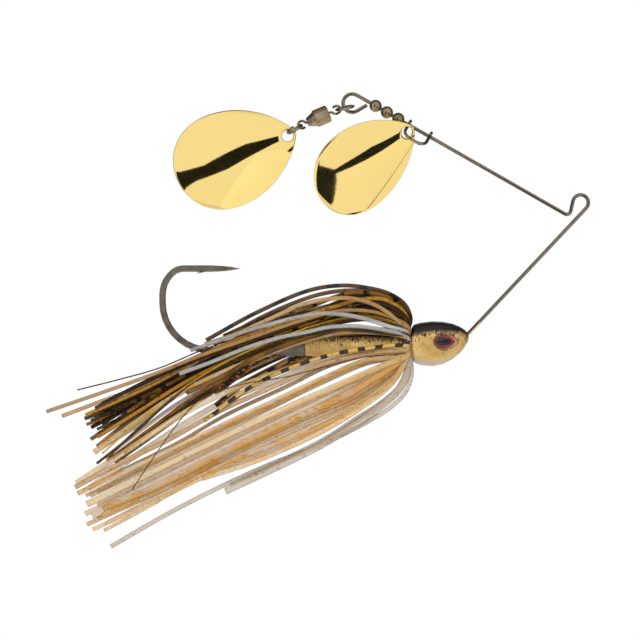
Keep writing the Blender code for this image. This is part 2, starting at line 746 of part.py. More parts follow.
def swivel_eye(name, middle, way, shoulder, stretch):
    """An eye, its stem along way, and on the stem's end the knob that the barrel holds.

    shoulder is the distance from the eye's middle to the knob."""
    reach = eye_reach(EYE_R, EYE_BEND_R, stretch)
    curl = Vector((way.z, 0, -way.x))
    eye = in_plane(eye_bend(0, EYE_R, EYE_BEND_R, 285, stretch), middle + way * reach, -way, curl)
    knob = middle + way * shoulder
    path = [knob + way * KNOB_LENGTH, knob + way * 0.02, knob] + eye
    swell = KNOB_R / EYE_WIRE_R
    wire(name, path, EYE_WIRE_R, "dark_nickel", middle, factors=[swell, swell, 1.0] + [1.0] * len(eye))


def make_swivel(places):
    """A turned barrel, open at both ends, whose wall holds the knobs of both eyes."""
    way = places["swivel_way"]
    front = FRONT_EYE_REACH + BARREL_FRONT_WALL + KNOB_GAP
    swivel_eye("swivel_front_eye", places["link_far"], way, front, FRONT_EYE_STRETCH)
    rear = REAR_EYE_REACH + BARREL_LENGTH - BARREL_CAVITY_END + KNOB_GAP
    swivel_eye("swivel_rear_eye", places["rear_eye"], -way, rear, 1.0)
    barrel = turned("swivel_barrel", BARREL_OUTLINE, "dark_nickel", steps=16)
    place(barrel, places["barrel_front"], -way)


def make_split_ring(places):
    """Two coils of springy wire, edge on to the lure's side."""
    points = ring_points(
        places["split_centre"], SPLIT_RING_R, -places["split_way"], SIDE, turns=2, pitch=SPLIT_RING_PITCH
    )
    wire("split_ring", points, SPLIT_RING_WIRE_R, "dark_nickel", places["rear_eye"])


def make_rear_blade(places):
    along = -direction(REAR_BLADE_ANGLE)
    hole = places["split_far"] - Vector((0, 0, REAR_HOLE_DROP))
    make_blade("rear_blade", REAR_BLADE, hole, along, -SIDE, places["split_far"])


def main():
    _, wire_path = make_wire_form()
    hook_line = make_hook()
    make_head(wire_path, hook_line)
    make_keeper()
    make_eyes()
    make_collar()
    for lock in LOCKS:
        make_lock(*lock)
    make_beads()
    make_clevis()
    make_front_blade()
    places = chain_places()
    make_link_ring(places)
    make_swivel(places)
    make_split_ring(places)
    make_rear_blade(places)
    bpy.context.view_layer.update()


main()
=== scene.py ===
"""Looks for the spinnerbait: gold blades, painted head, hardware and the skirt's silicone strands."""
import math
import random

import bmesh
import bpy
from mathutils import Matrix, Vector


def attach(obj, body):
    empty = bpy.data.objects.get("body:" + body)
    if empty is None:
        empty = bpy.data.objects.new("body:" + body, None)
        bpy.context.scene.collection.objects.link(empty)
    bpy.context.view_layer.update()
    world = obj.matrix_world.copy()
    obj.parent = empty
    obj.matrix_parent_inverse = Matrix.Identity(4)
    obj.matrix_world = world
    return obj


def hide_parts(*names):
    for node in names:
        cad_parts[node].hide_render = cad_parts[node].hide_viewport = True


MM = 0.001
SIDE = Vector((0, 1, 0))
ROOT_BODY = "wire_and_head"
UV_LENGTH = 100.0  # millimetres of strand in one unit of its "strand" UV map

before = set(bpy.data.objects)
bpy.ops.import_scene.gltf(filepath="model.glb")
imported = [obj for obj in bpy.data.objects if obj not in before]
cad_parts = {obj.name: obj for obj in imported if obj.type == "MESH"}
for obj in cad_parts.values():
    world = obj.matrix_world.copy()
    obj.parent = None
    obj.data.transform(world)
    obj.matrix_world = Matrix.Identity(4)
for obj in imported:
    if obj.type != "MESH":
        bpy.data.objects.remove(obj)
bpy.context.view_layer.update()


# Shader building

class Paint:
    """A material with one Principled shader, and the nodes that feed it."""

    def __init__(self, name, **constants):
        self.material = bpy.data.materials.new(name)
        self.material.use_nodes = True
        self.nodes = self.material.node_tree.nodes
        self.links = self.material.node_tree.links
        self.shader = self.nodes["Principled BSDF"]
        for key, value in constants.items():
            self.shader.inputs[key.replace("_", " ")].default_value = value

    def add(self, kind, inputs=(), output=0, **settings):
        node = self.nodes.new("ShaderNode" + kind)
        for key, value in settings.items():
            setattr(node, key, value)
        for key, value in dict(inputs).items():
            if isinstance(value, bpy.types.NodeSocket):
                self.links.new(value, node.inputs[key])
            else:
                node.inputs[key].default_value = value
        return node.outputs[output]

    def math(self, operation, *values):
        return self.add("Math", enumerate(values), operation=operation)

    def where(self):
        """The place on the object in metres, as a vector."""
        return self.add("TexCoord", output="Object")

    def place(self):
        """The place on the object in metres, as X, Y and Z."""
        return self.split(self.where())

    def along(self):
        """On a strand: millimetres from its root, and the strand's own number from 0 to 1."""
        length, number, _ = self.split(self.add("UVMap", uv_map="strand"))
        return self.math("MULTIPLY", length, UV_LENGTH), number

    def across(self):
        """On a strand: from -1 on one edge to 1 on the other."""
        return self.split(self.add("UVMap", uv_map="width"))[0]

    def split(self, vector):
        made = self.nodes.new("ShaderNodeSeparateXYZ")
        self.links.new(vector, made.inputs[0])
        return made.outputs[0], made.outputs[1], made.outputs[2]

    def vector(self, x, y, z):
        return self.add("CombineXYZ", {0: x, 1: y, 2: z})

    def noise(self, vector, scale, detail=2.0):
        return self.add("TexNoise", {"Vector": vector, "Scale": scale, "Detail": detail})

    def step(self, value, low, high):
        """0 at low and 1 at high, with a soft edge between them."""
        return self.add("MapRange", {0: value, 1: low, 2: high}, interpolation_type="SMOOTHSTEP")

    def spread(self, value, low, high):
        """A value between 0 and 1 spread out between low and high."""
        return self.add("MapRange", {0: value, 3: low, 4: high})

    def mix(self, factor, one, two):
        node = self.nodes.new("ShaderNodeMix")
        node.data_type = "RGBA"
        for socket, value in ((node.inputs[0], factor), (node.inputs[6], one), (node.inputs[7], two)):
            if isinstance(value, bpy.types.NodeSocket):
                self.links.new(value, socket)
            elif socket is node.inputs[0]:
                socket.default_value = value
            else:
                socket.default_value = (*value, 1)
        return node.outputs[2]

    def bump(self, height, distance):
        made = self.add("Bump", {"Height": height, "Distance": distance})
        self.links.new(made, self.shader.inputs["Normal"])

    def use(self, **sockets):
        for key, value in sockets.items():
            self.links.new(value, self.shader.inputs[key.replace("_", " ")])
        return self.material


def shade(r, g, b):
    """A colour as it looks on a screen, from 0 to 255, as a linear colour."""
    return tuple((c / 255 / 12.92) if c < 11 else ((c / 255 + 0.055) / 1.055) ** 2.4 for c in (r, g, b))


GRAIN_DEPTH = 0.00002


def metal(name, colour, dark, roughness, rough_spread=0.08):
    """A plated or drawn metal: faint cloudiness and a fine grain."""
    p = Paint(name, Metallic=1.0)
    where = p.where()
    clouds = p.noise(where, 360.0)
    fine = p.noise(where, 2700.0, 4.0)
    p.bump(fine, GRAIN_DEPTH)
    return p.use(
        Base_Color=p.mix(p.step(clouds, 0.35, 0.75), colour, dark),
        Roughness=p.spread(fine, roughness - rough_spread, roughness + rough_spread),
    )


PAINT_RUN_TOP = -0.0260
PAINT_RUN_FRONT = -0.0205


def wire_material(name, colour, dark, roughness):
    """Steel wire, with the head's black and gold paint run a little way up it from the nose."""
    p = Paint(name)
    x, _, z = p.place()
    where = p.where()
    grain = p.noise(where, 900.0, 3.0)
    run = p.math("MULTIPLY_ADD", p.noise(where, 1500.0), 0.0008, PAINT_RUN_TOP)
    below = p.step(p.math("SUBTRACT", z, run), 0.0001, -0.0001)
    painted = p.math("MULTIPLY", below, p.step(x, PAINT_RUN_FRONT, PAINT_RUN_FRONT - 0.0007))
    upper = p.math("MULTIPLY_ADD", x, -0.73, p.math("MULTIPLY", z, 0.68))
    paint = p.mix(p.step(upper, -0.00165, -0.00150), shade(196, 160, 96), shade(30, 22, 16))
    p.bump(grain, GRAIN_DEPTH)
    return p.use(
        Base_Color=p.mix(painted, p.mix(grain, colour, dark), paint),
        Metallic=p.math("SUBTRACT", 1.0, painted),
        Roughness=p.spread(grain, roughness - 0.08, roughness + 0.08),
    )


def gold_material():
    p = Paint("gold_mirror", Metallic=1.0)
    where = p.where()
    clouds = p.noise(where, 60.0)
    peel = p.noise(where, 260.0, 3.0)
    p.bump(peel, 0.000006)
    return p.use(
        Base_Color=p.mix(clouds, shade(248, 221, 143), shade(243, 213, 131)),
        Roughness=p.spread(p.noise(where, 400.0), 0.035, 0.075),
    )


# Head paint, in metres: the head's length runs along X, and the eye's drop shape has its own middle and lean
BODY_FROM = -0.0372
BACK_EDGE_Z = -0.0276
NOSE_FROM = -0.0262
REAR_FROM = -0.0330
BELLY_Z = -0.0338
EYE_MIDDLE_X = -0.0290
EYE_MIDDLE_Z = -0.02975
EYE_LEAN = 0.966  # how much the eye is shortened from the side, as it follows the head's taper


def head_material():
    """Gold paint, a black back with a ragged edge and dark ticks below it, a pearl belly, and a painted shadow
    line around the eye.
    """
    p = Paint("head_paint", Roughness=0.4, Specular_IOR_Level=0.25, Coat_Weight=0.45, Coat_Roughness=0.08)
    x, y, z = p.place()
    where = p.where()
    body = p.step(x, BODY_FROM, BODY_FROM - 0.0014)
    edge = p.math("MULTIPLY_ADD", body, -0.0007, BACK_EDGE_Z)
    nose = p.math("MAXIMUM", p.math("SUBTRACT", x, NOSE_FROM), 0.0)
    rear = p.math("MINIMUM", p.math("MAXIMUM", p.math("SUBTRACT", REAR_FROM, x), 0.0), 0.003)
    edge = p.math("MULTIPLY_ADD", nose, -0.38, p.math("MULTIPLY_ADD", rear, -0.22, edge))
    dashes = p.noise(p.vector(p.math("MULTIPLY", x, 3600.0), y, p.math("MULTIPLY", z, 1100.0)), 1.0, 5.0)
    ragged = p.math("MULTIPLY_ADD", dashes, -0.0026, p.math("ADD", edge, 0.0013))
    back = p.step(p.math("SUBTRACT", z, ragged), -0.0002, 0.0003)
    smudges = p.noise(p.vector(p.math("MULTIPLY", x, 2300.0), 7.0, p.math("MULTIPLY", z, 1500.0)), 1.0, 4.0)
    smudged = p.math("MULTIPLY_ADD", smudges, -0.0046, p.math("ADD", edge, 0.0017))
    brown = p.math("MULTIPLY", p.step(p.math("SUBTRACT", z, smudged), -0.0002, 0.0003), 0.75)
    low = p.math("SUBTRACT", z, p.math("ADD", edge, -0.0024))
    ticks = p.noise(p.vector(p.math("MULTIPLY", x, 3400.0), y, p.math("MULTIPLY", z, 900.0)), 1.0, 1.0)
    near_back = p.step(low, -0.001, 0.0016)
    ticks = p.math("MULTIPLY", p.step(ticks, 0.58, 0.63), near_back)
    # Painted shade: a thin brown drop-shaped ring round the eye, broken up by noise, painted as the shadow line
    # where the eye's dome meets the head
    socket = eye_drop(p, *from_eye(p, x, z), -0.00004, 0.00288, 0.00198)
    rim = p.math("MULTIPLY", p.step(socket, 0.86, 0.93), p.step(socket, 1.05, 0.97))
    shadow_ring_breakup = p.step(p.noise(where, 900.0), 0.25, 0.5)
    rim = p.math("MULTIPLY", p.math("MULTIPLY", rim, shadow_ring_breakup), 0.9)
    bow = p.math("POWER", p.math("ABSOLUTE", p.math("ADD", x, 0.032)), 2.0)
    belly_top = p.math("MULTIPLY_ADD", bow, 45.0, BELLY_Z)
    belly = p.step(p.math("SUBTRACT", z, belly_top), 0.0002, -0.0005)
    belly = p.math("MULTIPLY", belly, p.math("SUBTRACT", 1.0, body))
    flake = p.noise(where, 2600.0, 2.0)
    gold = p.mix(p.step(flake, 0.35, 0.7), shade(206, 168, 98), shade(186, 146, 76))
    gold = p.mix(p.step(p.noise(where, 160.0), 0.4, 0.7), gold, shade(226, 194, 128))
    painted = p.mix(belly, gold, shade(186, 172, 150))
    painted = p.mix(brown, painted, shade(92, 66, 38))
    # the painted shadow ring round the eye dome
    painted = p.mix(rim, painted, shade(70, 48, 28))
    painted = p.mix(ticks, painted, shade(38, 28, 20))
    painted = p.mix(back, painted, shade(18, 12, 8))
    p.bump(p.noise(where, 500.0), GRAIN_DEPTH)
    return p.use(Base_Color=painted, Metallic=p.math("MULTIPLY", p.math("SUBTRACT", 1.0, back), 0.35))


def from_eye(p, x, z):
    """A place on the head's side as seen from the eye's middle."""
    return p.math("DIVIDE", p.math("SUBTRACT", x, EYE_MIDDLE_X), EYE_LEAN), p.math("SUBTRACT", z, EYE_MIDDLE_Z)


def eye_drop(p, x, z, middle, length, height):
    """Less than 1 inside a drop shape that is round behind and pointed in front."""
    u = p.math("DIVIDE", p.math("SUBTRACT", x, middle), length)
    narrow = p.math("MULTIPLY_ADD", p.math("MAXIMUM", u, 0.0), -0.55, 1.0)
    v = p.math("DIVIDE", z, p.math("MULTIPLY", narrow, height))
    return p.math("SQRT", p.math("ADD", p.math("MULTIPLY", u, u), p.math("MULTIPLY", v, v)))


def eye_material():
    p = Paint("eye_print", Specular_IOR_Level=0.1)
    side_x, _, side_z = p.place()
    x, z = from_eye(p, side_x, side_z)
    pupil = eye_drop(p, x, z, -0.0006, 0.0017, 0.00102)
    ring = eye_drop(p, x, z, -0.00042, 0.00246, 0.00178)
    where = p.where()
    facets = p.add("TexVoronoi", {"Vector": where, "Scale": 1500.0}, output="Color")
    grey = p.add("RGBToBW", {0: facets})
    black = p.mix(p.step(grey, 0.3, 0.9), shade(2, 3, 3), shade(46, 52, 52))
    red = p.mix(p.noise(where, 1800.0), shade(164, 36, 40), shade(126, 20, 26))
    red = p.mix(p.step(ring, 0.80, 0.98), red, shade(196, 122, 112))
    outer = p.mix(p.step(x, -0.0006, 0.0008), shade(58, 38, 28), shade(196, 152, 112))
    colour = p.mix(p.step(ring, 0.94, 1.02), red, outer)
    colour = p.mix(p.step(pupil, 1.03, 0.96), colour, black)
    return p.use(Base_Color=colour, Roughness=p.spread(grey, 0.15, 0.35))


def clear_material(name):
    p = Paint(name, Transmission_Weight=1.0, IOR=1.35)
    where = p.where()
    p.bump(p.noise(where, 300.0), 0.00001)
    return p.use(
        Base_Color=p.mix(p.noise(where, 200.0), (1, 1, 1), (0.95, 0.95, 0.93)),
        Roughness=p.spread(p.noise(where, 900.0), 0.0, 0.04),
    )


def keeper_material():
    p = Paint("keeper_grey", Metallic=0.0)
    where = p.where()
    clouds = p.noise(where, 500.0, 4.0)
    p.bump(clouds, 0.00006)
    return p.use(
        Base_Color=p.mix(clouds, shade(122, 116, 106), shade(84, 78, 70)),
        Roughness=p.spread(clouds, 0.4, 0.6),
    )


def collar_material():
    p = Paint("collar_black")
    where = p.where()
    grain = p.noise(where, 2000.0, 3.0)
    p.bump(grain, 0.00005)
    return p.use(
        Base_Color=p.mix(grain, shade(30, 28, 26), shade(52, 48, 44)), Roughness=p.spread(grain, 0.55, 0.8)
    )


SKIRT_LEAN = math.radians(-27)


def silicone(
    name, one, two, fleck_and_edge_shading, opacity=1.0, bars=None, flecks=(0.57, 0.66), fleck_amount=0.75, patches=None
):
    """Silicone skirt rubber: two tints that change from strand to strand and along them, painted shading at the
    strands' edges, flecks, and bars.

    bars is (period, black share, share of strands barred) in millimetres along a strand."""
    p = Paint(name, Alpha=opacity, IOR=1.41, Specular_IOR_Level=0.3)
    where = p.where()
    length, number = p.along()
    own = p.noise(p.vector(p.math("MULTIPLY", number, 300.0), 0.0, 0.0), 1.0, 0.0)
    slow = p.noise(p.vector(p.math("MULTIPLY", length, 0.12), p.math("MULTIPLY", number, 300.0), 0.0), 1.0, 1.0)
    tint = p.step(p.math("ADD", p.math("MULTIPLY", own, 0.6), p.math("MULTIPLY", slow, 0.4)), 0.38, 0.60)
    colour = p.mix(tint, one, two)
    # Painted shading: each strand's edges are mixed halfway to the fleck colour, darker on pale strands and
    # lighter on dark ones, standing in for light bent at a translucent strand's edges
    edge = p.step(p.math("ABSOLUTE", p.across()), 0.5, 1.0)
    colour = p.mix(p.math("MULTIPLY", edge, 0.5), colour, fleck_and_edge_shading)
    if patches:
        patch = p.noise(
            p.vector(p.math("MULTIPLY", length, 0.35), p.math("MULTIPLY", number, 500.0), 1.0), 1.0, 2.0
        )
        colour = p.mix(p.math("MULTIPLY", p.step(patch, 0.42, 0.68), 0.7), colour, patches)
    lean = p.add("Mapping", {"Vector": where, "Rotation": (0, SKIRT_LEAN, 0), "Scale": (0.4, 1, 1)})
    specks = p.step(p.noise(lean, 2300.0, 2.0), *flecks)
    clumps = p.step(p.noise(where, 260.0, 2.0), 0.3, 0.55)
    colour = p.mix(p.math("MULTIPLY", p.math("MULTIPLY", specks, clumps), fleck_amount), colour, fleck_and_edge_shading)
    if bars:
        period, share, some = bars
        turn = p.math("ADD", p.math("DIVIDE", length, period), p.math("MULTIPLY", number, 91.0))
        wobble = p.noise(
            p.vector(p.math("MULTIPLY", length, 0.1), p.math("MULTIPLY", number, 70.0), 2.0), 1.0, 1.0
        )
        part = p.math("FRACT", p.math("ADD", turn, p.math("MULTIPLY", wobble, 0.9)))
        soft = p.math("MULTIPLY_ADD", p.noise(where, 1300.0, 1.0), 0.3, p.math("SUBTRACT", part, 0.15))
        bar = p.math("MULTIPLY", p.step(soft, 0.0, 0.07), p.step(soft, share + 0.07, share))
        pick = p.noise(p.vector(p.math("MULTIPLY", number, 211.0), 5.0, 0.0), 1.0, 0.0)
        barred = p.step(pick, 1 - some - 0.02, 1 - some) if some < 1 else 1.0
        colour = p.mix(p.math("MULTIPLY", p.math("MULTIPLY", bar, barred), 0.96), colour, shade(12, 9, 6))
    grain = p.noise(where, 1600.0, 3.0)
    p.bump(grain, 0.00004)
    return p.use(Base_Color=colour, Roughness=p.spread(grain, 0.28, 0.46))


# Blades: the CAD blade's surface with a finer mesh and a rolled rim

BLADE_THICKNESS = 0.5
BLADE_HOLE_R = 1.2
BLADE_HOLE_FROM_TIP = 1.95
BLADE_BOW = 0.9
BLADE_CREST = 0.55
BLADE_WIDEST = 0.6
BLADE_SHOULDER = 0.78
BLADE_ROUND_END = 2.2
BLADE_CUP = 0.5
BLADE_CUP_SPREAD = 6
BLADE_RAYS = 220
BLADE_RINGS = 26


def direction(degrees):
    a = math.radians(degrees)
    return Vector((math.cos(a), 0, math.sin(a)))


def blade_half_width(x, length, width):
    widest = BLADE_WIDEST * length
    if x <= 0 or x >= length:
        return 0.0
    if x < widest:
        return 0.5 * width * (1 - (1 - x / widest) ** 2) ** BLADE_SHOULDER
    return 0.5 * width * max(0.0, 1 - ((x - widest) / (length - widest)) ** BLADE_ROUND_END) ** 0.5


def blade_reach(angle, length, width):
    """How far the outline is from the hole's middle in this direction."""
    low, high = 0.0, length
    for _ in range(40):
        middle = (low + high) / 2
        x = BLADE_HOLE_FROM_TIP + middle * math.cos(angle)
        inside = 0 < x < length and abs(middle * math.sin(angle)) < blade_half_width(x, length, width)
        low, high = (middle, high) if inside else (low, middle)
    return low


def make_blade(name, length, width, hole, along, normal, material):
    """A cupped teardrop with a round rim and a round hole, all in millimetres."""
    across = normal.cross(along)
    crest = BLADE_CREST * length
    half = BLADE_THICKNESS / 2

    def height(x, y):
        cup = -BLADE_CUP * y * y / (x + BLADE_CUP_SPREAD) - BLADE_BOW * (x / crest - 1) ** 2
        return cup + BLADE_BOW * (BLADE_HOLE_FROM_TIP / crest - 1) ** 2

    def point(x, y, lift):
        d = 0.01
        slope_x = (height(x + d, y) - height(x - d, y)) / (2 * d)
        slope_y = (height(x, y + d) - height(x, y - d)) / (2 * d)
        up = Vector((-slope_x, -slope_y, 1)).normalized() * lift
        x, y, z = x + up.x, y + up.y, height(x, y) + up.z
        return hole + along * (x - BLADE_HOLE_FROM_TIP) + across * y + normal * z

    rim = [(math.sin(a), math.cos(a)) for a in (math.pi * k / 6 for k in range(7))]
    shape = bmesh.new()
    rings = []
    angles = [2 * math.pi * n / BLADE_RAYS for n in range(BLADE_RAYS)]
    reaches = [blade_reach(a, length, width) for a in angles]

    def add_ring(share, inset, lift):
        ring = []
        for a, reach in zip(angles, reaches):
            r = BLADE_HOLE_R + (reach - BLADE_HOLE_R) * share - inset
            ring.append(shape.verts.new(point(BLADE_HOLE_FROM_TIP + r * math.cos(a), r * math.sin(a), lift)))
        rings.append(ring)

    for n in range(BLADE_RINGS + 1):
        add_ring(n / BLADE_RINGS, half * (2 * n / BLADE_RINGS - 1), half)
    for out, up in rim[1:-1]:
        add_ring(1.0, half * (1 - out), half * up)
    for n in range(BLADE_RINGS, -1, -1):
        add_ring(n / BLADE_RINGS, half * (2 * n / BLADE_RINGS - 1), -half)
    for out, up in reversed(rim[1:-1]):
        add_ring(0.0, half * (out - 1), half * up)
    for one, two in zip(rings, rings[1:] + rings[:1]):
        for n in range(BLADE_RAYS):
            m = (n + 1) % BLADE_RAYS
            shape.faces.new((one[n], one[m], two[m], two[n]))
    return finish_mesh(name, shape, material)


def finish_mesh(name, shape, material):
    """A smooth object from a bmesh whose vertices are in millimetres."""
    bmesh.ops.scale(shape, vec=(MM, MM, MM), verts=shape.verts)
    bmesh.ops.recalc_face_normals(shape, faces=shape.faces)
    mesh = bpy.data.meshes.new(name)
    shape.to_mesh(mesh)
    shape.free()
    mesh.shade_smooth()
    mesh.materials.append(material)
    obj = bpy.data.objects.new(name, mesh)
    bpy.context.scene.collection.objects.link(obj)
    return obj


# Skirt: each strand by its kind, width, depth at mid length and at its tip, and the points it passes

